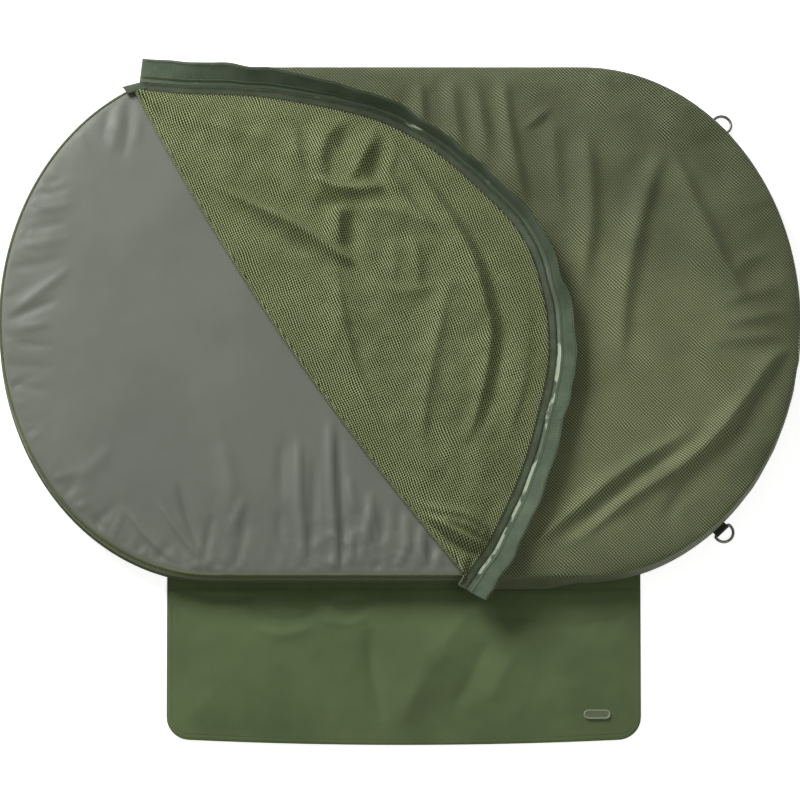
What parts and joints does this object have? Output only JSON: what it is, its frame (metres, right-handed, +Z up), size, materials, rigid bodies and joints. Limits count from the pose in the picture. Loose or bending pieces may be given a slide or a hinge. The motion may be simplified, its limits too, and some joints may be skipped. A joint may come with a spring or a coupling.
{
  "type": "unhooking mat",
  "caption": "Padded fish unhooking mat with rounded ends, a fold-back mesh cover edged with hook tape, D-rings on tabs and a fold-under kneeling flap.",
  "frame": {"origin": "middle of the mat's flat underside, on the surface it lies on", "axes": "+X along the mat towards the D-rings, +Y towards the rear, away from the kneeling flap, +Z up"},
  "size_m": [1.0085, 0.881, 0.0827],
  "materials": {
    "foam": "open-cell foam",
    "padded_top": "satin coated polyester",
    "olive_fabric": "matt coated polyester",
    "kneeler_fabric": "matt twill polyester",
    "piping": "matt corded trim",
    "loop": "brushed loop tape",
    "mesh": "knitted mesh",
    "webbing": "ribbed webbing",
    "hook": "glossy hook tape",
    "dark_webbing": "dark woven tab",
    "gunmetal": "dark plated wire",
    "badge_rubber": "soft moulded badge"
  },
  "bodies": {
    "mat": {"foam_core": "foam", "base_sheet": "olive_fabric", "side_wall": "olive_fabric", "top_sheet": "padded_top", "top_piping": "piping", "base_piping": "piping", "loop_tape": "loop", "mesh_cover": "mesh", "rear_ring_tab": "dark_webbing", "front_ring_tab": "dark_webbing", "kneeler_hinge_strip": "kneeler_fabric"},
    "cover_flap": {"mesh_flap": "mesh", "flap_binding": "webbing", "hook_tape": "hook", "edge_webbing": "webbing"},
    "kneeler": {"kneeler_base": "kneeler_fabric", "kneeler_foam": "foam", "kneeler_top": "kneeler_fabric", "badge": "badge_rubber"},
    "rear_ring": {"rear_d_ring": "gunmetal"},
    "front_ring": {"front_d_ring": "gunmetal"}
  },
  "joints": [
    {"name": "cover_fold", "type": "hinge", "parent": "mat", "child": "cover_flap", "pos_m": [-0.35168, 0.28468, 0.0544], "axis": [0.5518, -0.834, 0], "range_deg": [0, 172]},
    {"name": "kneeler_fold", "type": "hinge", "parent": "mat", "child": "kneeler", "pos_m": [0.006, -0.3401, -0.00015], "axis": [1, 0, 0], "range_deg": [-30, 180]},
    {"name": "rear_ring_swing", "type": "hinge", "parent": "mat", "child": "rear_ring", "pos_m": [0.40541, 0.26349, 0.0035], "axis": [0.7184, -0.6957, 0], "range_deg": [-75, 95]},
    {"name": "front_ring_swing", "type": "hinge", "parent": "mat", "child": "front_ring", "pos_m": [0.40541, -0.26349, 0.0035], "axis": [-0.7184, -0.6957, 0], "range_deg": [-75, 95]}
  ]
}
